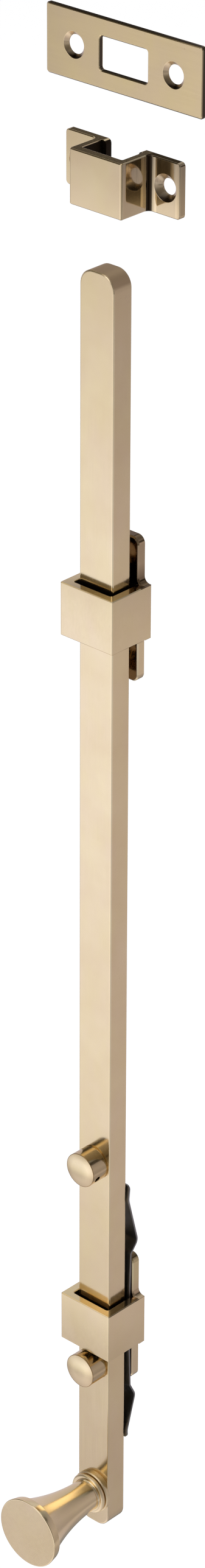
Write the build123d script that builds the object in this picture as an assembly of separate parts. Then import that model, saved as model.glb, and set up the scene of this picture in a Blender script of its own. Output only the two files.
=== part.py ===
"""Surface-mounted panic bolt: a flat brass bar that slides in two cast guides, pressed forward by a
leaf spring, with a turned pull knob, two stop studs, a surface keeper and a flat strike plate.

Millimetres. +Z runs up along the bar, +X to the right, and -Y towards the viewer.
The origin is on the mounting plane, at the middle of the lower guide's back.
"""

from build123d import *
import os
from math import cos, radians, sin

# Bar
BAR_WIDTH = 14.0
BAR_DEPTH = 8.0
BAR_LENGTH = 460.7
BAR_END_RADIUS = 5.3
BAR_EDGE = 0.35

# Guides
GUIDE_SPACING = 264.75
GUIDE_HEIGHT = 18.3
GUIDE_FRONT_WALL = 2.8
GUIDE_SIDE_WALL = 3.1
GUIDE_PLATE_WIDTH = 16.6
GUIDE_PLATE_LENGTH = 49.7
GUIDE_PLATE_THICKNESS = 3.0
GUIDE_PLATE_CORNER = 2.6
GUIDE_FLARE_RADIUS = 2.2
GUIDE_EDGE = 0.5
GUIDE_OPENING_CORNER = 0.8
GUIDE_SCREW_INSET = 7.8
GUIDE_SCREW_RADIUS = 2.1
GUIDE_SINK_RADIUS = 4.0
BAR_SIDE_CLEARANCE = 0.9
BAR_FRONT_CLEARANCE = 1.65
BAR_BACK_CLEARANCE = 2.2

# Stop studs
THROW = 48.7
STOP_GAP = 1.45
STOP_RADIUS = 6.0
STOP_HEIGHT = 6.8
STOP_DOME = 0.45
STOP_FOOT_CHAMFER = 0.4
STOP_SHANK_RADIUS = 2.5
STOP_SHANK_LENGTH = 7.4
STOP_SHANK_CLEARANCE = 0.05
TOMMY_HOLE_RADIUS = 1.2
TOMMY_HOLE_DEPTH = 4.5
TOMMY_HOLE_RISE = 4.4
UPPER_TOMMY_ANGLE = -22.0
LOWER_TOMMY_ANGLE = -110.0

# Pull knob and the collar under it
KNOB_DROP = 70.1
KNOB_TO_BAR_END = 13.0
KNOB_PROJECTION = 32.75
KNOB_RADIUS = 12.7
KNOB_RIM = 3.3
KNOB_RIM_TAPER = 0.55
KNOB_RIM_EDGE = 0.35
NECK_FRONT_RADIUS = 10.75
NECK_FOOT_RADIUS = 5.4
NECK_HOLLOW = 0.8
BEAD_RADIUS = 7.35
BEAD_THICKNESS = 1.5
BEAD_ROUNDING = 0.45
SPIGOT_RADIUS = 6.1
SPIGOT_LENGTH = 0.3
COLLAR_RADIUS = 7.6
COLLAR_THICKNESS = 1.3
COLLAR_EDGE = 0.35

# Knob screw
SCREW_RADIUS = 2.0
SCREW_GRIP = 10.0
SCREW_HEAD_RADIUS = 3.8
SCREW_HEAD_RECESS = 0.1
SCREW_SLOT_WIDTH = 1.0
SCREW_SLOT_DEPTH = 0.8
SCREW_CLEARANCE = 0.05
SCREW_BORE_SPARE = 2.0

# Leaf spring, with its bends placed from the ends of the lower guide's plate
SPRING_THICKNESS = 0.6
SPRING_SIDE_CLEARANCE = 0.1
SPRING_BAR_CLEARANCE = 0.15
SPRING_PLATE_CLEARANCE = 0.1
SPRING_WAIST = 0.8
SPRING_TOP_HOOK = 1.4
SPRING_TOP_BULGE = 5.4
SPRING_TOP_CONTACT = 23.2
SPRING_TOP_TIP = 28.8
SPRING_TOP_BACK = 0.15
SPRING_BOTTOM_HOOK = 2.5
SPRING_BOTTOM_BULGE = 7.3
SPRING_BOTTOM_CONTACT = 20.8
SPRING_BOTTOM_TIP = 23.8
SPRING_BOTTOM_BACK = 0.9
SPRING_TIP_LIFT = 0.6
SPRING_TIP_CORNER = 1.6
SPRING_HOOK_BEND = 1.0
SPRING_BULGE_BEND = 3.0
SPRING_CONTACT_BEND = 5.0
SPRING_WAIST_BEND = 60.0

# Keeper
KEEPER_GAP = 19.05
KEEPER_HEIGHT = 17.5
KEEPER_FRONT_WALL = 2.85
KEEPER_SIDE_WALL = 2.35
KEEPER_SIDE_PLAY = 1.2
KEEPER_DEPTH_PLAY = 0.5
KEEPER_LUG_REACH = 12.45
KEEPER_LUG_THICKNESS = 2.3
KEEPER_LIP = 1.7
KEEPER_ROOT_FILLET = 1.5
KEEPER_FRONT_FILLET = 0.8
KEEPER_CAVITY_FILLET = 0.6
KEEPER_LUG_CORNER = 1.3
KEEPER_EDGE = 0.3
KEEPER_SCREW_INSET = 5.8
KEEPER_SCREW_RADIUS = 2.6
KEEPER_SINK_RADIUS = 4.35

# Strike plate
STRIKE_GAP = 15.4
STRIKE_STANDOFF = 0.75
STRIKE_LENGTH = 62.3
STRIKE_HEIGHT = 21.9
STRIKE_THICKNESS = 1.4
STRIKE_CORNER = 1.1
STRIKE_EDGE = 0.5
STRIKE_SIDE_PLAY = 2.45
STRIKE_DEPTH_PLAY = 1.2
STRIKE_WINDOW_CORNER = 1.0
STRIKE_WINDOW_EDGE = 0.4
STRIKE_SCREW_SPACING = 39.5
STRIKE_SCREW_RADIUS = 3.0
STRIKE_SINK_RADIUS = 4.15

# Depths, worked out from the mounting plane at y = 0
PLATE_FRONT_Y = -GUIDE_PLATE_THICKNESS
BAR_BACK_Y = PLATE_FRONT_Y - BAR_BACK_CLEARANCE
BAR_FRONT_Y = BAR_BACK_Y - BAR_DEPTH
OPENING_FRONT_Y = BAR_FRONT_Y - BAR_FRONT_CLEARANCE
GUIDE_FRONT_Y = OPENING_FRONT_Y - GUIDE_FRONT_WALL

# Widths and heights, worked out from the bar and from the lower guide's middle at z = 0
OPENING_WIDTH = BAR_WIDTH + 2 * BAR_SIDE_CLEARANCE
GUIDE_WIDTH = OPENING_WIDTH + 2 * GUIDE_SIDE_WALL
PLATE_END = GUIDE_PLATE_LENGTH / 2
KNOB_Z = -KNOB_DROP
BAR_FOOT_Z = KNOB_Z - KNOB_TO_BAR_END
BAR_MIDDLE_Z = BAR_FOOT_Z + BAR_LENGTH / 2
UPPER_STOP_Z = GUIDE_HEIGHT / 2 + THROW + STOP_RADIUS
LOWER_STOP_Z = -(GUIDE_HEIGHT / 2 + STOP_GAP + STOP_RADIUS)
KEEPER_FOOT_Z = BAR_FOOT_Z + BAR_LENGTH + KEEPER_GAP
KEEPER_Z = KEEPER_FOOT_Z + KEEPER_HEIGHT / 2
STRIKE_Z = KEEPER_FOOT_Z + KEEPER_HEIGHT + STRIKE_GAP + STRIKE_HEIGHT / 2
SHANK_BORE_RADIUS = STOP_SHANK_RADIUS + STOP_SHANK_CLEARANCE
SCREW_BORE_RADIUS = SCREW_RADIUS + SCREW_CLEARANCE

# How far a cutter runs past the face that it opens
PAST = 1.0
FROM_FOOT = (Align.CENTER, Align.CENTER, Align.MIN)
BELOW_LINE = (Align.CENTER, Align.MAX)


def facing_front(y, x=0.0, z=0.0):
    """A plane at a depth y whose sketches lie in X and Z and grow towards the viewer."""
    return Plane(origin=(x, y, z), x_dir=(1, 0, 0), z_dir=(0, -1, 0))


def through_bore(radius, z):
    """The cutter for a bore square through the bar."""
    start = facing_front(BAR_BACK_Y + PAST, 0, z)
    return extrude(start * Circle(radius), BAR_DEPTH + 2 * PAST)


def countersunk_hole(x, z, front_y, back_y, hole_radius, sink_radius):
    """The cutter for a through hole with a 90 degree countersink open to the front."""
    hole = extrude(facing_front(back_y + PAST, x, z) * Circle(hole_radius), back_y - front_y + 2 * PAST)
    depth = sink_radius - hole_radius
    sink = facing_front(front_y + depth, x, z) * Cone(hole_radius, sink_radius, depth, align=FROM_FOOT)
    return hole + sink


def turned(outline, y, z):
    """A turned piece whose axis is square to the bar, from a closed outline of radius and rise."""
    return facing_front(y, 0, z) * revolve(Plane.XZ * make_face(outline), Axis.Z)


def corners(sketch, *places):
    """The vertices of a sketch at the given places."""
    return [sketch.vertices().sort_by_distance(place)[0] for place in places]


def bolt_bar():
    outline = RectangleRounded(BAR_WIDTH, BAR_LENGTH, BAR_END_RADIUS)
    bar = extrude(facing_front(BAR_BACK_Y, 0, BAR_MIDDLE_Z) * outline, BAR_DEPTH)
    bar = chamfer(bar.faces().filter_by(Axis.Y).edges(), BAR_EDGE)
    for stop_z in (UPPER_STOP_Z, LOWER_STOP_Z):
        bar -= through_bore(SHANK_BORE_RADIUS, stop_z)
    sink_radius = SCREW_HEAD_RADIUS + SCREW_CLEARANCE + SCREW_HEAD_RECESS
    sink_depth = sink_radius - SCREW_BORE_RADIUS
    sink = facing_front(BAR_BACK_Y, 0, KNOB_Z) * Cone(sink_radius, SCREW_BORE_RADIUS, sink_depth, align=FROM_FOOT)
    return bar - through_bore(SCREW_BORE_RADIUS, KNOB_Z) - sink


def stop_stud(z, tommy_angle):
    """A turned stud with a domed face, a shank in the bar and a blind tommy hole in its side."""
    crown = STOP_HEIGHT + STOP_DOME
    outline = Polyline(
        (0, -STOP_SHANK_LENGTH),
        (STOP_SHANK_RADIUS, -STOP_SHANK_LENGTH),
        (STOP_SHANK_RADIUS, 0),
        (STOP_RADIUS - STOP_FOOT_CHAMFER, 0),
        (STOP_RADIUS, STOP_FOOT_CHAMFER),
        (STOP_RADIUS, crown),
        (0, crown),
        close=True,
    )
    dome_radius = (STOP_RADIUS**2 + STOP_DOME**2) / (2 * STOP_DOME)
    ball = Pos(0, BAR_FRONT_Y - crown + dome_radius, z) * Sphere(dome_radius)
    stud = turned(outline, BAR_FRONT_Y, z) & ball
    way = Vector(cos(radians(tommy_angle)), 0, sin(radians(tommy_angle)))
    axis_point = Vector(0, BAR_FRONT_Y - TOMMY_HOLE_RISE, z)
    floor = Plane(origin=axis_point + way * (STOP_RADIUS - TOMMY_HOLE_DEPTH), z_dir=way)
    return stud - extrude(floor * Circle(TOMMY_HOLE_RADIUS), TOMMY_HOLE_DEPTH + PAST)


def pull_knob():
    """The knob: flat face, tapered rim, trumpet neck, rounded bead and a spigot on the collar."""
    seat = COLLAR_THICKNESS
    bead_back = seat + SPIGOT_LENGTH
    bead_front = bead_back + BEAD_THICKNESS
    bead_shoulder = BEAD_RADIUS - BEAD_ROUNDING
    rim_back = KNOB_PROJECTION - KNOB_RIM
    rim_back_radius = KNOB_RADIUS - KNOB_RIM_TAPER
    front = Polyline(
        (NECK_FRONT_RADIUS, rim_back),
        (rim_back_radius - KNOB_RIM_EDGE, rim_back),
        (rim_back_radius, rim_back + KNOB_RIM_EDGE),
        (KNOB_RADIUS, KNOB_PROJECTION - KNOB_RIM_EDGE),
        (KNOB_RADIUS - KNOB_RIM_EDGE, KNOB_PROJECTION),
        (0, KNOB_PROJECTION),
    )
    foot = Polyline(
        (0, KNOB_PROJECTION),
        (0, seat),
        (SPIGOT_RADIUS, seat),
        (SPIGOT_RADIUS, bead_back),
        (bead_shoulder, bead_back),
        (BEAD_RADIUS, bead_back + BEAD_ROUNDING),
        (BEAD_RADIUS, bead_front - BEAD_ROUNDING),
        (bead_shoulder, bead_front),
        (NECK_FOOT_RADIUS, bead_front),
    )
    waist = ((NECK_FOOT_RADIUS + NECK_FRONT_RADIUS) / 2 - NECK_HOLLOW, (bead_front + rim_back) / 2)
    neck = ThreePointArc((NECK_FOOT_RADIUS, bead_front), waist, (NECK_FRONT_RADIUS, rim_back))
    knob = turned(front + foot + neck, BAR_FRONT_Y, KNOB_Z)
    bore_depth = SCREW_GRIP + SCREW_BORE_SPARE
    bore_start = facing_front(BAR_FRONT_Y - seat + PAST, 0, KNOB_Z)
    return knob - extrude(bore_start * Circle(SCREW_BORE_RADIUS), bore_depth + PAST)


def knob_collar():
    ring = Circle(COLLAR_RADIUS) - Circle(SCREW_BORE_RADIUS)
    collar = extrude(facing_front(BAR_FRONT_Y, 0, KNOB_Z) * ring, COLLAR_THICKNESS)
    front_rim = collar.faces().sort_by(Axis.Y)[0].edges().sort_by(SortBy.RADIUS)[-1]
    return chamfer(front_rim, COLLAR_EDGE)


def knob_screw():
    """A slotted countersunk screw from the back of the bar, through the collar, into the knob."""
    tip = BAR_DEPTH + COLLAR_THICKNESS + SCREW_GRIP
    head_end = SCREW_HEAD_RECESS + SCREW_HEAD_RADIUS - SCREW_RADIUS
    outline = Polyline(
        (0, SCREW_HEAD_RECESS),
        (SCREW_HEAD_RADIUS, SCREW_HEAD_RECESS),
        (SCREW_RADIUS, head_end),
        (SCREW_RADIUS, tip),
        (0, tip),
        close=True,
    )
    screw = turned(outline, BAR_BACK_Y, KNOB_Z)
    slot = Box(2 * (SCREW_HEAD_RADIUS + PAST), SCREW_SLOT_WIDTH, SCREW_HEAD_RECESS + SCREW_SLOT_DEPTH, align=FROM_FOOT)
    return screw - facing_front(BAR_BACK_Y, 0, KNOB_Z) * slot


def guide(z):
    """A cast guide: a flared back plate with rounded ends, and the box loop that the bar slides in."""
    plate_half, box_half = GUIDE_PLATE_WIDTH / 2, GUIDE_WIDTH / 2
    rise_half = GUIDE_HEIGHT / 2
    outline = Rectangle(GUIDE_PLATE_WIDTH, GUIDE_PLATE_LENGTH) + Rectangle(GUIDE_WIDTH, GUIDE_HEIGHT)
    signs = ((1, 1), (1, -1), (-1, 1), (-1, -1))
    outline = fillet(corners(outline, *[(a * plate_half, b * rise_half) for a, b in signs]), GUIDE_FLARE_RADIUS)
    outline = fillet(corners(outline, *[(a * plate_half, b * PLATE_END) for a, b in signs]), GUIDE_PLATE_CORNER)
    plate = extrude(facing_front(0, 0, z) * outline, GUIDE_PLATE_THICKNESS)
    front_rim = plate.faces().sort_by(Axis.Y)[0].edges()
    plate = chamfer(front_rim.filter_by(lambda edge: abs(edge.center().Z - z) > rise_half + GUIDE_EDGE), GUIDE_EDGE)

    loop = Rectangle(GUIDE_WIDTH, -GUIDE_FRONT_Y, align=BELOW_LINE)
    loop = fillet(corners(loop, (box_half, GUIDE_FRONT_Y), (-box_half, GUIDE_FRONT_Y)), GUIDE_EDGE)
    opening = Rectangle(OPENING_WIDTH, PLATE_FRONT_Y - OPENING_FRONT_Y, align=BELOW_LINE)
    loop -= Pos(0, PLATE_FRONT_Y) * fillet(opening.vertices(), GUIDE_OPENING_CORNER)
    box = extrude(Pos(0, 0, z - rise_half) * loop, GUIDE_HEIGHT)
    box = chamfer(box.faces().filter_by(Axis.Z).edges(), GUIDE_EDGE / 2)

    casting = plate + box
    for side in (1, -1):
        screw_z = z + side * (PLATE_END - GUIDE_SCREW_INSET)
        casting -= countersunk_hole(0, screw_z, PLATE_FRONT_Y, 0, GUIDE_SCREW_RADIUS, GUIDE_SINK_RADIUS)
    return casting


def friction_spring():
    """A leaf hooked over both ends of the lower guide's plate, with both tips on the bar's back."""
    half = SPRING_THICKNESS / 2
    on_bar = BAR_BACK_Y + SPRING_BAR_CLEARANCE + half
    on_plate = PLATE_FRONT_Y - SPRING_PLATE_CLEARANCE - half
    route = FilletPolyline(
        (0, on_bar + SPRING_TIP_LIFT, PLATE_END + SPRING_TOP_TIP),
        (0, on_bar, PLATE_END + SPRING_TOP_CONTACT),
        (0, -SPRING_TOP_BACK, PLATE_END + SPRING_TOP_BULGE),
        (0, on_plate, PLATE_END + SPRING_TOP_HOOK),
        (0, on_plate - SPRING_WAIST, 0),
        (0, on_plate, -PLATE_END - SPRING_BOTTOM_HOOK),
        (0, -SPRING_BOTTOM_BACK, -PLATE_END - SPRING_BOTTOM_BULGE),
        (0, on_bar, -PLATE_END - SPRING_BOTTOM_CONTACT),
        (0, on_bar + SPRING_TIP_LIFT / 2, -PLATE_END - SPRING_BOTTOM_TIP),
        radius=[
            SPRING_CONTACT_BEND, SPRING_BULGE_BEND, SPRING_HOOK_BEND, SPRING_WAIST_BEND,
            SPRING_HOOK_BEND, SPRING_BULGE_BEND, SPRING_CONTACT_BEND,
        ],
    )
    start = Plane(origin=route @ 0, x_dir=(1, 0, 0), z_dir=route % 0)
    width = OPENING_WIDTH - 2 * SPRING_SIDE_CLEARANCE
    leaf = sweep(start * Rectangle(width, SPRING_THICKNESS), path=route)
    by_height = leaf.faces().sort_by(Axis.Z)
    tip_corners = [edge for end in (by_height[0], by_height[-1]) for edge in end.edges().sort_by(SortBy.LENGTH)[:2]]
    return fillet(tip_corners, SPRING_TIP_CORNER)


def surface_keeper():
    """A cast top-hat keeper: the bar's end runs up inside it, behind its front wall and its lips."""
    cavity_half = BAR_WIDTH / 2 + KEEPER_SIDE_PLAY
    hat_half = cavity_half + KEEPER_SIDE_WALL
    lug_half = hat_half + KEEPER_LUG_REACH
    cavity_depth = BAR_DEPTH + 2 * KEEPER_DEPTH_PLAY
    cavity_front = -KEEPER_LUG_THICKNESS - cavity_depth
    front = cavity_front - KEEPER_FRONT_WALL
    section = Rectangle(2 * hat_half, -front, align=BELOW_LINE)
    section += Rectangle(2 * lug_half, KEEPER_LUG_THICKNESS, align=BELOW_LINE)
    section = fillet(corners(section, (hat_half, front), (-hat_half, front)), KEEPER_FRONT_FILLET)
    roots = corners(section, (hat_half, -KEEPER_LUG_THICKNESS), (-hat_half, -KEEPER_LUG_THICKNESS))
    section = fillet(roots, KEEPER_ROOT_FILLET)
    cavity = Pos(0, -KEEPER_LUG_THICKNESS) * Rectangle(2 * cavity_half, cavity_depth, align=BELOW_LINE)
    section -= fillet(corners(cavity, (cavity_half, cavity_front), (-cavity_half, cavity_front)), KEEPER_CAVITY_FILLET)
    section -= Rectangle(2 * (cavity_half - KEEPER_LIP), KEEPER_LUG_THICKNESS, align=BELOW_LINE)

    keeper = extrude(Pos(0, 0, KEEPER_FOOT_Z) * section, KEEPER_HEIGHT)
    lug_and_lip_ends = keeper.faces().filter_by(Axis.X).filter_by(
        lambda face: face.center().Y > -KEEPER_LUG_THICKNESS
    )
    keeper = fillet(lug_and_lip_ends.edges().filter_by(Axis.Y), KEEPER_LUG_CORNER)
    hat_rims = keeper.edges().filter_by(lambda edge: edge.center().Y < cavity_front - KEEPER_FRONT_WALL / 2)
    keeper = chamfer(hat_rims.filter_by(lambda edge: abs(edge.center().Z - KEEPER_Z) > KEEPER_EDGE), KEEPER_EDGE)
    for side in (1, -1):
        screw_x = side * (lug_half - KEEPER_SCREW_INSET)
        keeper -= countersunk_hole(
            screw_x, KEEPER_Z, -KEEPER_LUG_THICKNESS, 0, KEEPER_SCREW_RADIUS, KEEPER_SINK_RADIUS
        )
    return keeper


def strike_plate():
    """A flat plate with softened edges, a rounded window for the bar's end and two countersunk holes."""
    back_y = -STRIKE_STANDOFF
    front_y = back_y - STRIKE_THICKNESS
    outline = RectangleRounded(STRIKE_LENGTH, STRIKE_HEIGHT, STRIKE_CORNER)
    window = RectangleRounded(
        BAR_WIDTH + 2 * STRIKE_SIDE_PLAY, BAR_DEPTH + 2 * STRIKE_DEPTH_PLAY, STRIKE_WINDOW_CORNER
    )
    plate = extrude(facing_front(back_y, 0, STRIKE_Z) * (outline - window), STRIKE_THICKNESS)
    plate = chamfer(plate.faces().sort_by(Axis.Y)[0].outer_wire().edges(), STRIKE_EDGE)
    plate = chamfer(plate.faces().sort_by(Axis.Y)[0].inner_wires()[0].edges(), STRIKE_WINDOW_EDGE)
    for side in (1, -1):
        plate -= countersunk_hole(
            side * STRIKE_SCREW_SPACING / 2, STRIKE_Z, front_y, back_y, STRIKE_SCREW_RADIUS, STRIKE_SINK_RADIUS
        )
    return plate


pieces = {
    "bolt_bar": bolt_bar(),
    "pull_knob": pull_knob(),
    "knob_collar": knob_collar(),
    "knob_screw": knob_screw(),
    "upper_stop": stop_stud(UPPER_STOP_Z, UPPER_TOMMY_ANGLE),
    "lower_stop": stop_stud(LOWER_STOP_Z, LOWER_TOMMY_ANGLE),
    "upper_guide": guide(GUIDE_SPACING),
    "lower_guide": guide(0.0),
    "friction_spring": friction_spring(),
    "surface_keeper": surface_keeper(),
    "strike_plate": strike_plate(),
}

os.makedirs("parts", exist_ok=True)
for name, piece in pieces.items():
    export_step(piece, f"parts/{name}.step")
    box = piece.bounding_box()
    print(name, "solids", len(piece.solids()), "from", box.min, "to", box.max)
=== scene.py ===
"""Looks of the panic bolt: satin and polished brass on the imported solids, a pale floor and soft light.

Metres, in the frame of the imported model: +Z runs up along the bar, -Y is towards the viewer.
"""

import math

import bpy
from mathutils import Matrix, Vector


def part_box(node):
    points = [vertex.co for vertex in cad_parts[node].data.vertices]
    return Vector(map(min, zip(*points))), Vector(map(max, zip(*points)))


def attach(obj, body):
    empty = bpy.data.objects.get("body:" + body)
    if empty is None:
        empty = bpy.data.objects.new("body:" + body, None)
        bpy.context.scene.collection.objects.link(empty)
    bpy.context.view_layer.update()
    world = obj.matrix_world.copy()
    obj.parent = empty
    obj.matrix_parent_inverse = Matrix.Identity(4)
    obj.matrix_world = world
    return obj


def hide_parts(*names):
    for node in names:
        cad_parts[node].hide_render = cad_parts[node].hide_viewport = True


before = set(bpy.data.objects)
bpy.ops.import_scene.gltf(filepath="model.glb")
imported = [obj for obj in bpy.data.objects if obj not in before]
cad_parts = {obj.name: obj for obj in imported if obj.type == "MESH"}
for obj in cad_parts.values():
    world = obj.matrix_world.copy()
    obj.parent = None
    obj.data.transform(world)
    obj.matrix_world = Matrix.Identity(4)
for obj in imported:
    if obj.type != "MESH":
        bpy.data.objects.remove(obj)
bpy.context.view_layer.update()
MM = 0.001
MICRON = 0.001 * MM

# Brass as it is, in its clouds, and with the tints that handling gives it
BRASS = (0.86, 0.70, 0.42)
STRIKE_BRASS = (0.86, 0.685, 0.36)
BRASS_CLOUD = (0.81, 0.64, 0.38)
ROSIER = (1.0, 0.99, 1.035)
GREENER = (1.0, 1.005, 0.97)

# Brass with specks, filed or drilled brass, and darker brass painted as shade in hollows, on tongues, corners
# and edges
SPECK = (0.50, 0.36, 0.20)
# Painted shade for the line round a stop's face
RIM_SHADE = (0.42, 0.28, 0.13)
# Painted shade, nearly black, where shade falls in hollows, creases and openings
HOLLOW_SHADE = (0.030, 0.019, 0.010)
SHADED_BRASS = (0.20, 0.135, 0.075)
DRILLED_BRASS = (0.80, 0.62, 0.38)
# Painted shade on the guides' tongues behind the bar, lighter and deeper
LIGHT_TONGUE_SHADE = (0.67, 0.54, 0.29)
DEEP_TONGUE_SHADE = (0.58, 0.43, 0.26)
FILED_BRASS = (0.55, 0.41, 0.25)
# Painted shade in the keeper's polished corner
CORNER_SHADE_BRASS = (0.42, 0.34, 0.23)
# Painted shade on rounded edges and corners, and on the strike plate's edges
EDGE_SHADE_BRASS = (0.60, 0.46, 0.26)
PLATE_EDGE_SHADE = (0.10, 0.075, 0.05)

STEEL = (0.31, 0.30, 0.285)
STEEL_CLOUD = (0.18, 0.175, 0.165)

# Roughness of the places that differ from the metal round them
HOLLOW_ROUGHNESS = 0.6
FILED_ROUGHNESS = 0.55
TURNED_FOOT_ROUGHNESS = 0.38
DRILLED_ROUGHNESS = 0.25
SHADED_ROUGHNESS = 0.10
POLISHED_ROUGHNESS = 0.09

# Scratches per metre along X, Y and Z: a small number draws them out along that axis
DRAWN_UP = (2500, 2500, 50)
DRAWN_ACROSS = (50, 2500, 2500)
CAST_GRAIN = (1200, 1200, 500)
TURNED_GRAIN = (900, 900, 900)
SPRING_GRAIN = (1500, 1500, 120)
STREAKS = (2500, 2500, 120)

# Clouds, patches of tint and specks: how many per metre
CLOUDS = 60.0
PATCHES = 80.0
PATCH_STRETCH = (1.0, 1.0, 0.5)
SPECKS = 2200.0

# The part of a noise's range over which each pattern comes in
MOST_OF_NOISE = (0.3, 0.7)
PATCH_RANGE = (0.36, 0.64)
STREAK_RANGE = (0.4, 0.6)
SPECK_RANGE = (0.74, 0.80)
SPECK_STRENGTH = 0.5
SPECK_DETAIL = 1.0

# Detail and roughness of the noise behind scratches and patches
FINE_NOISE = (4.0, 0.6)

# Radii, in metres, of the crowns that polishing leaves on long, cast and flat faces
BAR_CROWN = 0.3
CASTING_CROWN = 0.4
STRIKE_BOW = 0.5
BEVEL_SAMPLES = 12

# Places on the pieces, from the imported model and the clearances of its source
bar_low, bar_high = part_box("bolt_bar")
keeper_low, keeper_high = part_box("surface_keeper")
SIDE_CLEARANCE = 0.9 * MM
FRONT_CLEARANCE = 1.65 * MM
PLATE_THICKNESS = 3.0 * MM
PLATE_HALF_WIDTH = 8.3 * MM
LOOP_HALF_HEIGHT = 9.0 * MM
KEEPER_PLAY = 1.2 * MM
KEEPER_WALL = 2.35 * MM
KEEPER_FRONT_WALL = 2.85 * MM
LUG_THICKNESS = 2.3 * MM
ROOT_CORNER = 1.0 * MM
KEEPER_HOLE = 17.2 * MM
KEEPER_SINK = 4.35 * MM
STRIKE_HOLE = 19.75 * MM
STRIKE_SINK = 4.15 * MM
# A countersink's painted shade reaches this far below its middle, and fades out this far below it
SINK_FOOT = 3.5 * MM
SINK_UNSHADED = 0.5 * MM

# A mask reaches past the faces that it is meant for by a hair, and past a piece's ends by more
HAIR = 0.05 * MM
PAST_END = 1.0 * MM


def place(tree, stretch=(1.0, 1.0, 1.0)):
    """Object coordinates in metres, multiplied along each axis: a small factor draws a pattern out."""
    coordinates = tree.nodes.new("ShaderNodeTexCoord")
    mapping = tree.nodes.new("ShaderNodeMapping")
    mapping.inputs["Scale"].default_value = stretch
    tree.links.new(coordinates.outputs["Object"], mapping.inputs["Vector"])
    return mapping.outputs["Vector"]


def noise(tree, vector, scale, detail=3.0, roughness=0.55):
    """Noise from 0 to 1."""
    node = tree.nodes.new("ShaderNodeTexNoise")
    node.inputs["Scale"].default_value = scale
    node.inputs["Detail"].default_value = detail
    node.inputs["Roughness"].default_value = roughness
    tree.links.new(vector, node.inputs["Vector"])
    return node.outputs["Fac"]


def spread(tree, value, low, high, start=0.0, end=1.0):
    """The value taken from start..end to low..high, and held there beyond the ends."""
    node = tree.nodes.new("ShaderNodeMapRange")
    node.inputs["From Min"].default_value = start
    node.inputs["From Max"].default_value = end
    node.inputs["To Min"].default_value = low
    node.inputs["To Max"].default_value = high
    tree.links.new(value, node.inputs["Value"])
    return node.outputs["Result"]


def rising(tree, value, start, end, most=1.0):
    """0 up to start, then a steady rise to the most at end, which may lie on either side."""
    return spread(tree, value, 0.0, most, start, end)


def falling(tree, value, start, end):
    """1 up to start, then a steady fall to 0 at end, which may lie on either side."""
    return spread(tree, value, 1.0, 0.0, start, end)


def arithmetic(tree, operation, first, second):
    """One math node on a socket and a second socket or a number."""
    node = tree.nodes.new("ShaderNodeMath")
    node.operation = operation
    tree.links.new(first, node.inputs[0])
    if isinstance(second, (int, float)):
        node.inputs[1].default_value = second
    else:
        tree.links.new(second, node.inputs[1])
    return node.outputs["Value"]


def product(tree, first, second):
    """Two values multiplied; of two masks, it leaves where both are 1."""
    return arithmetic(tree, "MULTIPLY", first, second)


def mix(tree, share, first, second, blend="MIX"):
    """A mix of two colours, each a socket or a plain colour, by a share from 0 to 1."""
    node = tree.nodes.new("ShaderNodeMix")
    node.data_type = "RGBA"
    node.blend_type = blend
    if isinstance(share, float):
        node.inputs[0].default_value = share
    else:
        tree.links.new(share, node.inputs[0])
    for slot, colour in ((6, first), (7, second)):
        if isinstance(colour, tuple):
            node.inputs[slot].default_value = (*colour, 1.0)
        else:
            tree.links.new(colour, node.inputs[slot])
    return node.outputs[2]


def axes_of(tree, socket):
    """The X, Y and Z sockets of a vector."""
    split = tree.nodes.new("ShaderNodeSeparateXYZ")
    tree.links.new(socket, split.inputs["Vector"])
    return split.outputs["X"], split.outputs["Y"], split.outputs["Z"]


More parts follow.
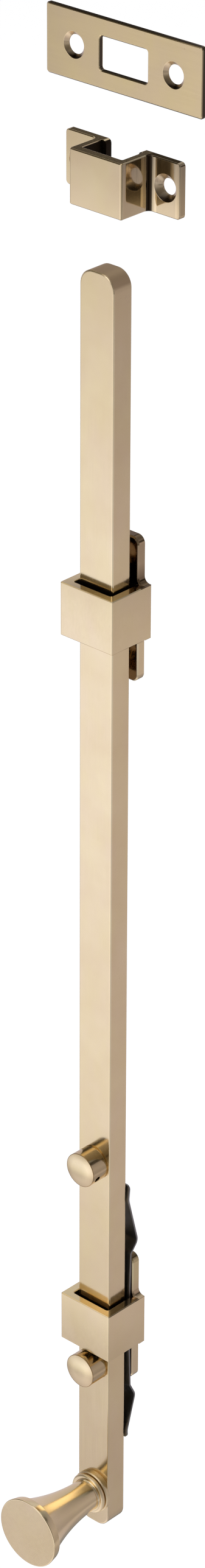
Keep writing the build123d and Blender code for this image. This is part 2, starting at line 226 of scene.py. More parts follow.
class GroundMetal:
    """A metal being finished: its material and nodes, and its colour, roughness and height so far."""

    def __init__(self, name, colour, cloud, smooth, rough, grain, depth, soft_edge, crowned=None):
        """A cloudy tint with a few specks, and a drawn-out grain in the gloss and as a fine relief."""
        self.material = bpy.data.materials.new(name)
        self.material.use_nodes = True
        self.tree = tree = self.material.node_tree
        self.shader = tree.nodes["Principled BSDF"]
        self.shader.inputs["Metallic"].default_value = 1.0
        self.axes = self.x, self.y, self.z = axes_of(tree, place(tree))

        clouds = rising(tree, noise(tree, place(tree), CLOUDS), *MOST_OF_NOISE)
        patches = noise(tree, place(tree, PATCH_STRETCH), PATCHES, *FINE_NOISE)
        handled = mix(tree, rising(tree, patches, *PATCH_RANGE), GREENER, ROSIER)
        dots = noise(tree, place(tree), SPECKS, SPECK_DETAIL)
        self.colour = mix(tree, 1.0, mix(tree, clouds, cloud, colour), handled, "MULTIPLY")
        self.recolour(rising(tree, dots, *SPECK_RANGE, most=SPECK_STRENGTH), SPECK)

        scratches = noise(tree, place(tree, grain), 1.0, *FINE_NOISE)
        self.roughness = spread(tree, scratches, smooth, rough, *MOST_OF_NOISE)
        tree.links.new(self.roughness, self.shader.inputs["Roughness"])

        soft_edges = tree.nodes.new("ShaderNodeBevel")
        soft_edges.samples = BEVEL_SAMPLES
        soft_edges.inputs["Radius"].default_value = soft_edge
        self.bump = tree.nodes.new("ShaderNodeBump")
        self.bump.inputs["Distance"].default_value = 1.0
        tree.links.new(soft_edges.outputs["Normal"], self.bump.inputs["Normal"])
        tree.links.new(self.bump.outputs["Normal"], self.shader.inputs["Normal"])
        self.height = product(tree, scratches, depth)
        tree.links.new(self.height, self.bump.inputs["Height"])
        if crowned:
            self.raise_by(self.crown(*crowned))

    def recolour(self, share, colour):
        """Another colour, plain or a socket, where the share is 1."""
        self.colour = mix(self.tree, share, self.colour, colour)
        self.tree.links.new(self.colour, self.shader.inputs["Base Color"])

    def regloss(self, share, roughness):
        """Another roughness where the share is 1."""
        node = self.tree.nodes.new("ShaderNodeMix")
        self.tree.links.new(share, node.inputs[0])
        self.tree.links.new(self.roughness, node.inputs[2])
        node.inputs[3].default_value = roughness
        self.roughness = node.outputs[0]
        self.tree.links.new(self.roughness, self.shader.inputs["Roughness"])

    def raise_by(self, rise):
        """Shading as if the surface stood higher by a rise in metres."""
        self.height = arithmetic(self.tree, "ADD", self.height, rise)
        self.tree.links.new(self.height, self.bump.inputs["Height"])

    def crown(self, middle, radius):
        """The rise of faces that polishing has left a little rounded about a middle.

        None in the middle leaves an axis out: the faces stay straight along it.
        """
        rise = None
        for value, centre in zip(self.axes, middle):
            if centre is None:
                continue
            off = arithmetic(self.tree, "SUBTRACT", value, centre)
            square = product(self.tree, off, off)
            rise = square if rise is None else arithmetic(self.tree, "ADD", rise, square)
        return product(self.tree, rise, -0.5 / radius)

    def dubbed(self, value, edge, inner, slope):
        """A rise that changes ever faster from inner to edge, where it has the slope given.

        A positive slope lowers the edge, as polishing does; a negative one raises it, as a filled corner.
        """
        share = falling(self.tree, value, edge, inner)
        square = product(self.tree, share, share)
        return product(self.tree, square, -0.5 * slope * abs(inner - edge))

    def upright(self):
        """1 on faces that stand upright, 0 on level ones."""
        geometry = self.tree.nodes.new("ShaderNodeNewGeometry")
        _, _, up = axes_of(self.tree, geometry.outputs["True Normal"])
        return arithmetic(self.tree, "LESS_THAN", arithmetic(self.tree, "ABSOLUTE", up, 0.0), 0.5)

    def in_box(self, low, high, edge=2 * HAIR):
        """1 inside a box, falling to 0 over a thin edge outside it."""
        inside = None
        for value, start, end in zip(self.axes, low, high):
            after_start = rising(self.tree, value, start - edge, start)
            before_end = falling(self.tree, value, end, end + edge)
            between = product(self.tree, after_start, before_end)
            inside = between if inside is None else product(self.tree, inside, between)
        return inside

    def in_rounds(self, middles, radius, edge=2 * HAIR):
        """1 within a radius of the given middles, looking from the front, falling to 0 at the radius."""
        inside = None
        for middle_x, middle_z in middles:
            off_x = arithmetic(self.tree, "SUBTRACT", self.x, middle_x)
            off_z = arithmetic(self.tree, "SUBTRACT", self.z, middle_z)
            squares = arithmetic(
                self.tree, "ADD", product(self.tree, off_x, off_x), product(self.tree, off_z, off_z)
            )
            near = falling(self.tree, squares, (radius - edge) ** 2, radius**2)
            inside = near if inside is None else arithmetic(self.tree, "MAXIMUM", inside, near)
        return inside

    def drill(self, off_middle, middle_z, radius):
        """Two countersinks: nearly black with painted shade at their foot, and bright above."""
        sinks = self.in_rounds([(-off_middle, middle_z), (off_middle, middle_z)], radius)
        unshaded = rising(self.tree, self.z, middle_z - SINK_FOOT, middle_z - SINK_UNSHADED)
        self.recolour(sinks, mix(self.tree, unshaded, HOLLOW_SHADE, DRILLED_BRASS))
        self.regloss(sinks, DRILLED_ROUGHNESS)


# The bar's filed upper end: its arch, its fades, and how far and how lightly the file went below it
ARCH_HEIGHT = 4.5 * MM
ARCH_FADE_BELOW = 0.5 * MM
ARCH_FADE_ABOVE = 1.0 * MM
FILED_BELOW_ARCH = 16 * MM
LIGHTLY_FILED = 0.4
BAR_FRONT_START = 0.1 * MM
BAR_FRONT_END = 0.4 * MM


def bar_brass():
    """Drawn along its length; the upper end is filed round and left dull, apart from the front."""
    middle = ((bar_low.x + bar_high.x) / 2, (bar_low.y + bar_high.y) / 2, None)
    brass = GroundMetal(
        "bar brass", BRASS, BRASS_CLOUD, smooth=0.12, rough=0.17, grain=DRAWN_UP, depth=0.2 * MICRON,
        soft_edge=0.5 * MM, crowned=(middle, BAR_CROWN)
    )
    arch_foot = bar_high.z - ARCH_HEIGHT
    arch = rising(brass.tree, brass.z, arch_foot - ARCH_FADE_BELOW, arch_foot + ARCH_FADE_ABOVE)
    below_arch = rising(brass.tree, brass.z, arch_foot - FILED_BELOW_ARCH, arch_foot, most=LIGHTLY_FILED)
    off_front = rising(brass.tree, brass.y, bar_low.y + BAR_FRONT_START, bar_low.y + BAR_FRONT_END)
    filed = product(brass.tree, arithmetic(brass.tree, "MAXIMUM", arch, below_arch), off_front)
    brass.recolour(filed, FILED_BRASS)
    brass.regloss(filed, FILED_ROUGHNESS)
    return brass.material


# The guides: how far the painted shade goes down in the opening, and where the tongue's painted shade at its
# root and tip fades
SHADE_BELOW_MIDDLE = 3.0 * MM
FLARE_DEPTH = 1.5 * MM
ROOT_START = 1.0 * MM
ROOT_END = 7.0 * MM
TIP_START = 2.0 * MM
TIP_END = 0.3 * MM


def guide_brass(name, node, unshaded_mouth, tongue_shade, root_shade):
    """Finely ground casting: painted shade in the opening, nearly black, and on the plate beside the bar.

    Its upper tongue has painted shade of its own, more where it runs into the loop, and more at its tip.
    """
    low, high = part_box(node)
    middle_z = (low.z + high.z) / 2
    loop_top = middle_z + LOOP_HALF_HEIGHT
    half_opening = bar_high.x + SIDE_CLEARANCE
    opening_front = bar_low.y - FRONT_CLEARANCE
    brass = GroundMetal(
        name, BRASS, BRASS_CLOUD, smooth=0.15, rough=0.20, grain=CAST_GRAIN, depth=0.2 * MICRON,
        soft_edge=0.12 * MM, crowned=((0.0, low.y / 2, middle_z), CASTING_CROWN)
    )

    tongue = brass.in_box(
        (-2 * PLATE_HALF_WIDTH, -PLATE_THICKNESS - FLARE_DEPTH, loop_top - 2 * HAIR),
        (2 * PLATE_HALF_WIDTH, PAST_END, high.z + PAST_END),
    )
    near_root = falling(brass.tree, brass.z, loop_top + ROOT_START, loop_top + ROOT_END)
    near_tip = rising(brass.tree, brass.z, high.z - TIP_START, high.z - TIP_END)
    # Painted shade on the tongue, with more where it runs into the loop and at the tip
    brass.recolour(tongue, tongue_shade)
    brass.recolour(product(brass.tree, tongue, near_root), root_shade)
    brass.recolour(product(brass.tree, tongue, near_tip), SHADED_BRASS)

    # Painted shade on the plate beside the bar
    beside_bar = brass.in_box(
        (-PLATE_HALF_WIDTH, -PLATE_THICKNESS - HAIR, low.z),
        (PLATE_HALF_WIDTH, -PLATE_THICKNESS + HAIR, high.z),
    )
    brass.recolour(beside_bar, SHADED_BRASS)
    brass.regloss(beside_bar, SHADED_ROUGHNESS)

    dull_mouth = brass.in_box(
        (-half_opening - HAIR, opening_front - HAIR, middle_z),
        (half_opening + HAIR, opening_front + HAIR, loop_top - 3 * HAIR),
    )
    brass.regloss(dull_mouth, HOLLOW_ROUGHNESS)

    # Painted shade, nearly black, in the opening from below its middle up to the mouth
    hole = brass.in_box(
        (-half_opening - HAIR, opening_front - HAIR, middle_z - SHADE_BELOW_MIDDLE),
        (half_opening + HAIR, -PLATE_THICKNESS + HAIR, loop_top - unshaded_mouth),
    )
    brass.recolour(hole, HOLLOW_SHADE)
    brass.regloss(hole, HOLLOW_ROUGHNESS)
    return brass.material


# The keeper: how far polishing has rounded its right wall and lug, and the painted shade between the two
WALL_DUBBING = 2.2 * MM
LUG_END_DUBBING = 2.4 * MM
ROOT_FILLING = 3.4 * MM
DUBBED_SLOPE = 0.4
FILLED_SLOPE = -0.8
FRONT_CORNER = 0.8 * MM
FRONT_CORNER_FACE = 0.15 * MM
FRONT_CORNER_WALL = 0.1 * MM
LUG_END_RIM = 0.8 * MM
LUG_END_SHADE = 0.7
POLISHED_BEHIND_FRONT = 0.5 * MM
SOFT_ROOT = 0.4 * MM
CORNER_SHADE_FOOT = 5.0 * MM
CORNER_SHADE_TOP = 1.0 * MM
CORNER_SHADE_MOST = 0.9
FAINT_STREAK = 0.6
UNSHADED_TOP_EDGE = 0.3 * MM


def keeper_brass():
    """Satin front, a polished corner between its right wall and lug with painted shade, and painted black
    shade inside.
    """
    low, high = keeper_low, keeper_high
    middle_z = (low.z + high.z) / 2
    half_inside = bar_high.x + KEEPER_PLAY
    wall_side = half_inside + KEEPER_WALL
    brass = GroundMetal(
        "keeper brass", BRASS, BRASS_CLOUD, smooth=0.16, rough=0.21, grain=CAST_GRAIN, depth=0.2 * MICRON,
        soft_edge=0.12 * MM, crowned=((None, None, middle_z), CASTING_CROWN)
    )

    wall_rise = brass.dubbed(brass.y, low.y, low.y + WALL_DUBBING, DUBBED_SLOPE)
    end_rise = brass.dubbed(brass.x, high.x, high.x - LUG_END_DUBBING, DUBBED_SLOPE)
    root_rise = brass.dubbed(brass.x, wall_side + ROOT_CORNER, wall_side + ROOT_FILLING, FILLED_SLOPE)
    lug_rise = arithmetic(brass.tree, "ADD", end_rise, root_rise)
    brass.raise_by(product(brass.tree, arithmetic(brass.tree, "ADD", wall_rise, lug_rise), brass.upright()))

    # Painted shade on the corner between the front and the right wall, and towards the rounded lug end
    front_corner = brass.in_box(
        (wall_side - FRONT_CORNER, low.y + FRONT_CORNER_FACE, low.z),
        (wall_side - FRONT_CORNER_WALL, low.y + FRONT_CORNER, high.z),
    )
    brass.recolour(front_corner, EDGE_SHADE_BRASS)
    near_end = rising(
        brass.tree, brass.x, high.x - LUG_END_DUBBING, high.x - LUG_END_RIM, most=LUG_END_SHADE
    )
    brass.recolour(near_end, EDGE_SHADE_BRASS)

    polished = brass.in_box(
        (wall_side - HAIR, low.y + POLISHED_BEHIND_FRONT, low.z - PAST_END),
        (high.x + PAST_END, PAST_END, high.z + PAST_END),
    )
    brass.regloss(polished, POLISHED_ROUGHNESS)
    brass.drill(KEEPER_HOLE, middle_z, KEEPER_SINK)

    # Painted shade: the polished corner darker towards the top, in faint streaks
    upward = rising(
        brass.tree, brass.z, middle_z - CORNER_SHADE_FOOT, high.z - CORNER_SHADE_TOP, most=CORNER_SHADE_MOST
    )
    streaks = noise(brass.tree, place(brass.tree, STREAKS), 1.0)
    streaked = product(brass.tree, upward, spread(brass.tree, streaks, FAINT_STREAK, 1.0, *STREAK_RANGE))
    brass.recolour(product(brass.tree, polished, streaked), CORNER_SHADE_BRASS)

    # Painted shade, nearly black, in the crease at the lug's root
    root = brass.in_box(
        (wall_side - HAIR, -LUG_THICKNESS - ROOT_CORNER, low.z),
        (wall_side + ROOT_CORNER, -LUG_THICKNESS + HAIR, high.z),
        SOFT_ROOT,
    )
    brass.recolour(root, HOLLOW_SHADE)

    # Painted shade, nearly black, over the inside, up to just below the top edge
    inside = brass.in_box(
        (-half_inside - HAIR, low.y + KEEPER_FRONT_WALL - HAIR, low.z - PAST_END),
        (half_inside + HAIR, PAST_END, high.z - UNSHADED_TOP_EDGE),
    )
    brass.recolour(inside, HOLLOW_SHADE)
    brass.regloss(inside, HOLLOW_ROUGHNESS)
    return brass.material


# The strike plate's painted shade on its edges begins this far behind its front and ends this far before its
# back
FRONT_EDGE_START = 0.15 * MM
FRONT_EDGE_END = 0.35 * MM
BACK_EDGE_START = 0.2 * MM
BACK_EDGE_END = 0.1 * MM


def strike_plate_brass():
    """Satin plate drawn lengthwise, a little bowed, with painted shade on its edges and duller drilled
    countersinks.
    """
    low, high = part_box("strike_plate")
    brass = GroundMetal(
        "strike brass", STRIKE_BRASS, BRASS_CLOUD, smooth=0.15, rough=0.20, grain=DRAWN_ACROSS,
        depth=0.15 * MICRON, soft_edge=0.12 * MM, crowned=((0.0, None, None), STRIKE_BOW)
    )
    # Painted shade on the edges between front and back
    behind_front = rising(brass.tree, brass.y, low.y + FRONT_EDGE_START, low.y + FRONT_EDGE_END)
    before_back = falling(brass.tree, brass.y, high.y - BACK_EDGE_START, high.y - BACK_EDGE_END)
    brass.recolour(product(brass.tree, behind_front, before_back), PLATE_EDGE_SHADE)
    brass.drill(STRIKE_HOLE, (low.z + high.z) / 2, STRIKE_SINK)
    return brass.material


# The knob's fine turning reaches this far from the bar
FINE_TURNING = 3.3 * MM
FINE_TURNING_FADE = 0.3 * MM


def knob_brass():
    """Satin turned brass, duller in the fine turning at its foot."""
    brass = GroundMetal(
        "knob brass", BRASS, BRASS_CLOUD, smooth=0.16, rough=0.20, grain=TURNED_GRAIN,
        depth=0.15 * MICRON, soft_edge=0.08 * MM
    )
    foot_front = bar_low.y - FINE_TURNING
    foot = rising(brass.tree, brass.y, foot_front, foot_front + FINE_TURNING_FADE)
    brass.regloss(foot, TURNED_FOOT_ROUGHNESS)
    return brass.material


# The stops: how far the face's painted shade reaches past it, and the painted shade line round it
SHADE_PAST_FACE = 0.4 * MM
RIM_LINE_WIDTH = 0.15 * MM
RIM_LINE_FADE = 0.55 * MM
RIM_LINE_BACK = 0.75 * MM


def stop_brass(name, node, shaded_edge):
    """Satin turned brass with a thin line of painted shade round the face, and painted shade on the face near
    its edge.
    """
    low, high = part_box(node)
    radius = (high.x - low.x) / 2
    middle = ((low.x + high.x) / 2, (low.z + high.z) / 2)
    brass = GroundMetal(
        name, BRASS, BRASS_CLOUD, smooth=0.14, rough=0.18, grain=TURNED_GRAIN, depth=0.15 * MICRON,
        soft_edge=0.25 * MM
    )
    # Painted shade: darker towards the face's edge, and a thin darker line round it
    face_middle = brass.in_rounds([middle], radius + SHADE_PAST_FACE, shaded_edge)
    brass.recolour(falling(brass.tree, face_middle, 0.0, 1.0), EDGE_SHADE_BRASS)
    face = brass.in_rounds([middle], radius - RIM_LINE_WIDTH)
    near_face = falling(brass.tree, brass.y, low.y + RIM_LINE_FADE, low.y + RIM_LINE_BACK)
    brass.recolour(product(brass.tree, near_face, falling(brass.tree, face, 0.0, 1.0)), RIM_SHADE)
    return brass.material


def screw_brass():
    """Plain turned brass."""
    return GroundMetal(
        "screw brass", BRASS, BRASS_CLOUD, smooth=0.20, rough=0.28, grain=TURNED_GRAIN,
        depth=0.4 * MICRON, soft_edge=0.2 * MM
    ).material


def spring_steel():
    """Dark steel, ground along the leaf."""
    return GroundMetal(
        "spring steel", STEEL, STEEL_CLOUD, smooth=0.30, rough=0.42, grain=SPRING_GRAIN,
        depth=0.6 * MICRON, soft_edge=0.1 * MM
    ).material


# The knob's outline, in millimetres, as radii and heights above the bar
knob_low, knob_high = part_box("pull_knob")
KNOB_AXIS_Z = (knob_low.z + knob_high.z) / 2
KNOB_FACE = (bar_low.y - knob_low.y) / MM
RIM_RADIUS = 12.7
RIM_WIDTH = 3.3
RIM_BACK = KNOB_FACE - RIM_WIDTH
NECK_RADIUS = 5.6
BEAD_HEIGHT = 2.4
BEAD_RADIUS = 6.4
BEAD_OUT = 0.95
BEAD_ALONG = 0.85
BEAD_START = math.radians(112)
BEAD_SWEEP = math.radians(202)
FOOT_RADIUS = 6.1
FOOT_TOP = 1.55
FOOT = 1.3
BORE_RADIUS = 2.05
BORE_END = 13.3

# Its curves, each as a start, a bend that it leans towards, and an end
FACE_CORNER = ((12.35, KNOB_FACE), (RIM_RADIUS, KNOB_FACE), (RIM_RADIUS, KNOB_FACE - 0.35))
BACK_CORNER = ((12.17, RIM_BACK + 0.45), (12.12, RIM_BACK), (11.7, RIM_BACK - 0.02))
NECK = ((11.1, RIM_BACK - 0.08), (6.0, RIM_BACK - 12.0), (NECK_RADIUS, BEAD_HEIGHT + 1.7))
NECK_FOOT = ((NECK_RADIUS, BEAD_HEIGHT + 1.5), (5.62, BEAD_HEIGHT + 0.95), (5.95, BEAD_HEIGHT + 0.8))

# Flat rings on the face, and how many steps go into each stretch
FACE_RINGS = (11.6, 12.2)
ROUND_STEPS = 160
NECK_STEPS = 26
BEAD_STEPS = 13
CORNER_STEPS = 5
SHARPEST_SMOOTH = math.radians(35)


def curve_points(start, bend, end, steps):
    """Points along a curve from start to end that leans towards a bend, as (radius, height) pairs."""
    points = []
    for step in range(steps + 1):
        share = step / steps
        weights = ((1 - share) ** 2, 2 * share * (1 - share), share**2)
        radius, height = (sum(w * p[i] for w, p in zip(weights, (start, bend, end))) for i in (0, 1))
        points.append((radius, height))
    return points


def knob_profile():
    """The knob's outline from its face over the rim, neck and bead to its foot, and into its bore."""
    outline = [(radius, KNOB_FACE) for radius in FACE_RINGS]
    outline += curve_points(*FACE_CORNER, CORNER_STEPS)
    outline += curve_points(*BACK_CORNER, CORNER_STEPS)
    outline += curve_points(*NECK, NECK_STEPS)
    outline += curve_points(*NECK_FOOT, CORNER_STEPS)
    for step in range(1, BEAD_STEPS + 1):
        angle = BEAD_START - BEAD_SWEEP * step / BEAD_STEPS
        outline.append((BEAD_RADIUS + BEAD_OUT * math.cos(angle), BEAD_HEIGHT + BEAD_ALONG * math.sin(angle)))
    outline += [(FOOT_RADIUS, FOOT_TOP), (FOOT_RADIUS, FOOT), (BORE_RADIUS, FOOT), (BORE_RADIUS, BORE_END)]
    return outline


def turned_knob():
    """The knob as turned on a lathe: one ring of edges, extruded and scaled along its outline."""
    outline = knob_profile()
    bpy.ops.object.select_all(action="DESELECT")
    radius, height = outline[0]
    bpy.ops.mesh.primitive_circle_add(
        vertices=ROUND_STEPS, radius=radius * MM, fill_type="NOTHING",
        location=(0, bar_low.y - height * MM, KNOB_AXIS_Z), rotation=(math.pi / 2, 0, 0)
    )
    knob = bpy.context.object
    knob.name = "turned_knob"
    bpy.ops.object.transform_apply(location=True, rotation=True, scale=True)
    bpy.ops.object.mode_set(mode="EDIT")
    bpy.ops.mesh.select_all(action="SELECT")
    for next_radius, next_height in outline[1:]:
        step_back = (height - next_height) * MM
        bpy.ops.mesh.extrude_region_move(TRANSFORM_OT_translate={"value": (0, step_back, 0)})
        ratio = next_radius / radius
        bpy.ops.transform.resize(
            value=(ratio, 1, ratio), center_override=(0, bar_low.y - next_height * MM, KNOB_AXIS_Z)
        )
        radius, height = next_radius, next_height
    bpy.ops.mesh.select_all(action="SELECT")
    bpy.ops.mesh.fill_holes(sides=0)
    bpy.ops.mesh.normals_make_consistent(inside=False)
    bpy.ops.object.mode_set(mode="OBJECT")
    bpy.ops.object.shade_smooth_by_angle(angle=SHARPEST_SMOOTH)
    return knob


# What differs between the two stops, and between the two guides
UPPER_SHADED_EDGE = 2.8 * MM
LOWER_SHADED_EDGE = 3.5 * MM
# The lower guide's opening is left without painted shade this far below its mouth
UNSHADED_MOUTH = 2.1 * MM
turned_brass = knob_brass()
finishes = {
    "bolt_bar": bar_brass(),
    "pull_knob": turned_brass,
    "knob_collar": turned_brass,
    "knob_screw": screw_brass(),
    "upper_stop": stop_brass("upper stop brass", "upper_stop", UPPER_SHADED_EDGE),
    "lower_stop": stop_brass("lower stop brass", "lower_stop", LOWER_SHADED_EDGE),
    "upper_guide": guide_brass("upper guide brass", "upper_guide", 0.0, DEEP_TONGUE_SHADE, SHADED_BRASS),
    "lower_guide": guide_brass("lower guide brass", "lower_guide", UNSHADED_MOUTH, LIGHT_TONGUE_SHADE, DEEP_TONGUE_SHADE),
    "friction_spring": spring_steel(),
    "surface_keeper": keeper_brass(),
    "strike_plate": strike_plate_brass(),
}
for node, finish in finishes.items():
    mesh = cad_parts[node].data
    mesh.materials.clear()
    mesh.materials.append(finish)

knob = turned_knob()
knob.data.materials.append(turned_brass)
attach(knob, "bolt")
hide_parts("pull_knob")

# The floor lies below the lowest place that the bar reaches when it is drawn down
TRAVEL = 48.6 * MM
ROOM_BELOW = 10 * MM
FLOOR_Z = bar_low.z - TRAVEL - ROOM_BELOW
FLOOR_REACH = 6.0
PAPER_WHITE = 0.85
PAPER_GLOW = 0.9


def floor_paper():
    """White paper that holds a shadow; the metal's reflections see the room through it."""
    material = bpy.data.materials.new("pale floor")
    material.use_nodes = True
    tree = material.node_tree
    tree.nodes.clear()
    paper = tree.nodes.new("ShaderNodeBsdfDiffuse")
    paper.inputs["Color"].default_value = (PAPER_WHITE, PAPER_WHITE, PAPER_WHITE, 1.0)
    glow = tree.nodes.new("ShaderNodeEmission")
    lit_paper = tree.nodes.new("ShaderNodeMixShader")
    lit_paper.inputs["Fac"].default_value = PAPER_GLOW
    tree.links.new(paper.outputs["BSDF"], lit_paper.inputs[1])
    tree.links.new(glow.outputs["Emission"], lit_paper.inputs[2])
    rays = tree.nodes.new("ShaderNodeLightPath")
    clear = tree.nodes.new("ShaderNodeBsdfTransparent")
    in_mirror = tree.nodes.new("ShaderNodeMixShader")
    tree.links.new(rays.outputs["Is Glossy Ray"], in_mirror.inputs["Fac"])
    tree.links.new(lit_paper.outputs["Shader"], in_mirror.inputs[1])
    tree.links.new(clear.outputs["BSDF"], in_mirror.inputs[2])
    output = tree.nodes.new("ShaderNodeOutputMaterial")
    tree.links.new(in_mirror.outputs["Shader"], output.inputs["Surface"])
    return material


bpy.ops.mesh.primitive_plane_add(size=2 * FLOOR_REACH, location=(0, 0, FLOOR_Z))
floor = bpy.context.object
floor.name = "floor"
bpy.ops.object.transform_apply(location=True, rotation=True, scale=True)
floor.data.materials.append(floor_paper())

# The room as the metal sees it: before the bolt, higher up before it, and behind it on both sides.
# Each stop is a height, from straight down at 0 to straight up at 1, with a brightness and a tint.
# In ACROSS_FRONT, which shades the front sideways, it is a place from the left at 0 to the right at 1.
# SIDE_GAP is a dim gap on the right of the front.
LOW = (1.0, 0.965, 1.06)
PLAIN = (1.0, 1.0, 1.05)
WARM = (1.0, 0.98, 1.02)
COOL = (1.0, 1.035, 1.20)
ROSY = (1.0, 0.925, 1.02)
AMBER = (1.0, 0.92, 0.74)
WHITE = (1.0, 1.0, 1.0)
SIDE_GAP = (0.32, 0.30, 0.27)
FRONT = (
    (0.00, 0.95, PLAIN), (0.10, 0.80, LOW), (0.186, 0.70, LOW), (0.199, 0.57, LOW), (0.206, 0.62, LOW),
    (0.213, 0.72, PLAIN), (0.232, 0.93, PLAIN), (0.250, 1.00, COOL), (0.265, 1.05, COOL),
    (0.283, 1.04, COOL), (0.295, 0.98, COOL), (0.305, 0.90, PLAIN), (0.318, 0.77, PLAIN),
    (0.329, 0.66, WARM), (0.341, 0.61, WARM), (0.36, 0.60, WARM), (0.45, 0.60, PLAIN), (0.55, 0.30, PLAIN),
    (0.62, 0.07, PLAIN), (0.725, 0.09, AMBER), (0.755, 0.32, AMBER), (0.785, 1.00, AMBER),
    (0.86, 0.85, AMBER), (0.91, 0.35, PLAIN), (0.93, 0.35, PLAIN), (0.97, 1.00, PLAIN), (1.00, 1.10, PLAIN),
)
ACROSS_FRONT = (
    (0.08, 0.70, PLAIN), (0.17, 1.0, PLAIN), (0.23, 1.0, PLAIN), (0.29, 1.30, PLAIN),
    (0.45, 1.20, PLAIN), (0.60, 0.85, PLAIN), (0.75, 0.62, PLAIN), (1.0, 0.62, PLAIN),
)
HIGH_FRONT = (
    (0.50, 0.60, PLAIN), (0.60, 0.75, PLAIN), (0.67, 1.60, PLAIN), (0.80, 1.65, PLAIN), (0.86, 0.30, PLAIN),
    (0.93, 0.25, PLAIN), (0.97, 1.00, PLAIN), (1.00, 1.10, PLAIN),
)
BACK_RIGHT = (
    (0.00, 0.40, ROSY), (0.19, 0.42, ROSY), (0.20, 0.46, ROSY), (0.222, 0.55, ROSY), (0.285, 0.57, ROSY),
    (0.297, 0.48, ROSY), (0.307, 0.41, ROSY), (0.34, 0.40, ROSY), (0.50, 0.50, ROSY), (0.60, 0.46, ROSY),
    (0.72, 0.38, ROSY), (0.80, 0.28, PLAIN), (0.93, 0.25, PLAIN), (0.97, 1.00, PLAIN), (1.00, 1.10, PLAIN),
)
BACK_LEFT = (
    (0.00, 0.20, PLAIN), (0.172, 0.28, PLAIN), (0.19, 0.66, ROSY), (0.40, 0.68, ROSY), (0.58, 0.68, ROSY),
    (0.70, 0.64, ROSY), (0.72, 0.56, PLAIN), (0.785, 0.68, PLAIN), (0.93, 0.60, PLAIN), (1.00, 1.10, PLAIN),
)

# Where one part of the room gives way to the next, as a direction's own X, Y or Z from -1 to 1
ABOVE_EYE = (0.0, 0.1)
BELOW_ROOF = (0.85, 0.93)
PAST_FAR_LEFT = (-0.42, -0.28)
AT_SIDE_GAP = (0.12, 0.28)
BACK_LEFT_TO_RIGHT = (-0.25, 0.25)
BACK_TO_FRONT = (0.35, -0.25)


def band(tree, value, stops):
    """A colour by a ramp of (place, brightness, tint) stops."""
    ramp = tree.nodes.new("ShaderNodeValToRGB")
    elements = ramp.color_ramp.elements
    while len(elements) < len(stops):
        elements.new(0.5)
    for element, (position, brightness, tint) in zip(elements, stops):
        element.position = position
        element.color = (*(brightness * channel for channel in tint), 1.0)
    tree.links.new(value, ramp.inputs["Fac"])
    return ramp.outputs["Color"]


def room():
    """A tent of shaded bands for the metal to reflect; the camera sees plain white in its place."""
    world = bpy.data.worlds.new("studio")
    world.use_nodes = True
    tree = world.node_tree
    direction = tree.nodes.new("ShaderNodeTexCoord")
    way_x, way_y, way_z = axes_of(tree, direction.outputs["Generated"])
    height = rising(tree, way_z, -1.0, 1.0)
    across = rising(tree, way_x, -1.0, 1.0)

    above_eye = rising(tree, way_z, *ABOVE_EYE)
    high_front = product(tree, rising(tree, way_x, *PAST_FAR_LEFT), above_eye)
    below_roof = product(tree, above_eye, falling(tree, way_z, *BELOW_ROOF))
    side_gap = product(tree, rising(tree, way_x, *AT_SIDE_GAP), below_roof)
    front = mix(tree, high_front, band(tree, height, FRONT), band(tree, height, HIGH_FRONT))
    front = mix(tree, side_gap, front, SIDE_GAP)
    shaded_front = tree.nodes.new("ShaderNodeVectorMath")
    shaded_front.operation = "MULTIPLY"
    tree.links.new(front, shaded_front.inputs[0])
    tree.links.new(band(tree, across, ACROSS_FRONT), shaded_front.inputs[1])

    to_right = rising(tree, way_x, *BACK_LEFT_TO_RIGHT)
    back = mix(tree, to_right, band(tree, height, BACK_LEFT), band(tree, height, BACK_RIGHT))
    dome = mix(tree, rising(tree, way_y, *BACK_TO_FRONT), back, shaded_front.outputs["Vector"])
    rays = tree.nodes.new("ShaderNodeLightPath")
    seen = mix(tree, rays.outputs["Is Camera Ray"], dome, WHITE)
    tree.links.new(seen, tree.nodes["Background"].inputs["Color"])
    return world


bpy.context.scene.world = room()

# Four soft dark cards, which only the metal's reflections see
WARM_BLACK = (0.05, 0.042, 0.032)
KEEPER_SPOT = (0.0, -0.01, 0.41)
STOPS_SPOT = (0.0, -0.017, 0.023)

# The middle of a card on its own map, and how far its edges lie from it there
CARD_MIDDLE = (0.5, 0.5, 0.0)
CARD_REACH = 0.5


def card_paint(name, softness):
    """Nearly black in the middle of a card, clear at its edges."""
    paint = bpy.data.materials.new(name)
    paint.use_nodes = True
    tree = paint.node_tree
    tree.nodes.clear()
    black = tree.nodes.new("ShaderNodeEmission")
    black.inputs["Color"].default_value = (*WARM_BLACK, 1.0)
    clear = tree.nodes.new("ShaderNodeBsdfTransparent")
    own = tree.nodes.new("ShaderNodeTexCoord")
    off_middle = tree.nodes.new("ShaderNodeVectorMath")
    off_middle.operation = "DISTANCE"
    off_middle.inputs[1].default_value = CARD_MIDDLE
    tree.links.new(own.outputs["UV"], off_middle.inputs[0])
    solid = falling(tree, off_middle.outputs["Value"], CARD_REACH * (1 - softness), CARD_REACH)
    fading = tree.nodes.new("ShaderNodeMixShader")
    tree.links.new(solid, fading.inputs["Fac"])
    tree.links.new(clear.outputs["BSDF"], fading.inputs[1])
    tree.links.new(black.outputs["Emission"], fading.inputs[2])
    output = tree.nodes.new("ShaderNodeOutputMaterial")
    tree.links.new(fading.outputs["Shader"], output.inputs["Surface"])
    return paint


def flag(name, centre, towards, width, tall, softness):
    """A card held near the object and turned to a spot on it."""
    bpy.ops.object.select_all(action="DESELECT")
    turn = (Vector(towards) - Vector(centre)).to_track_quat("Z", "Y").to_euler()
    bpy.ops.mesh.primitive_plane_add(size=1.0, location=centre, rotation=turn)
    card = bpy.context.object
    card.name = name
    card.scale = (width, tall, 1.0)
    bpy.ops.object.transform_apply(location=True, rotation=True, scale=True)
    card.data.materials.append(card_paint(name, softness))
    card.visible_camera = False
    card.visible_diffuse = False
    card.visible_shadow = False


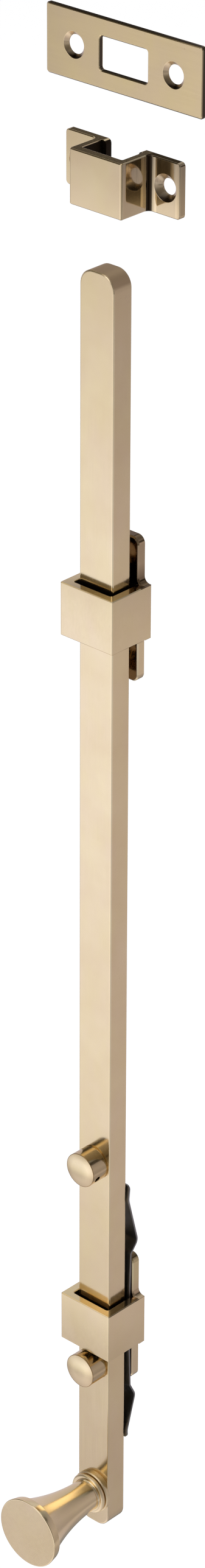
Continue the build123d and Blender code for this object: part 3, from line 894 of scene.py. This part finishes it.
flag("flag behind the keeper", (-0.254, 0.267, 0.555), KEEPER_SPOT, width=0.22, tall=0.20, softness=0.5)
flag("flag below the keeper", (0.30, -0.275, 0.265), KEEPER_SPOT, width=0.17, tall=0.13, softness=0.5)
flag("flag above the keeper", (-0.254, -0.142, 0.68), KEEPER_SPOT, width=0.28, tall=0.32, softness=0.5)
flag("flag behind the stops", (0.376, 0.418, 0.421), STOPS_SPOT, width=0.26, tall=0.26, softness=0.4)

# One soft box overhead, for the floor's shadow
BOX_PLACE = Vector((-0.5, 0.5, 2.2))
BOX_SIDE = 1.2
BOX_WATTS = 60.0
BOLT_MIDDLE = Vector((0, 0, 0.17))
lamp = bpy.data.lights.new("overhead soft box", "AREA")
lamp.shape = "RECTANGLE"
lamp.size = BOX_SIDE
lamp.size_y = BOX_SIDE
lamp.energy = BOX_WATTS
soft_box = bpy.data.objects.new("overhead soft box", lamp)
bpy.context.scene.collection.objects.link(soft_box)
soft_box.location = BOX_PLACE
soft_box.rotation_euler = (BOLT_MIDDLE - BOX_PLACE).to_track_quat("-Z", "Y").to_euler()
soft_box.visible_glossy = False

# The camera, solved from the photograph's edges: its place, two of its axes and its focal length
CAMERA_PLACE = Vector((0.84353, -0.92215, 0.86659))
CAMERA_RIGHT = Vector((0.73301, 0.68021, 0.00334))
CAMERA_UP = Vector((-0.32223, 0.34291, 0.88237))
FOCAL_PIXELS = 7327.0
PHOTO_HEIGHT = 2576.0
SENSOR = 36.0
lens = bpy.data.cameras.new("camera")
lens.sensor_width = SENSOR
lens.lens = FOCAL_PIXELS / PHOTO_HEIGHT * SENSOR
camera = bpy.data.objects.new("camera", lens)
bpy.context.scene.collection.objects.link(camera)
right = CAMERA_RIGHT.normalized()
back = right.cross(CAMERA_UP).normalized()
turn = Matrix((right, back.cross(right), back)).transposed().to_4x4()
camera.matrix_world = Matrix.Translation(CAMERA_PLACE) @ turn
bpy.context.scene.camera = camera

bpy.context.scene.view_settings.view_transform = "Standard"
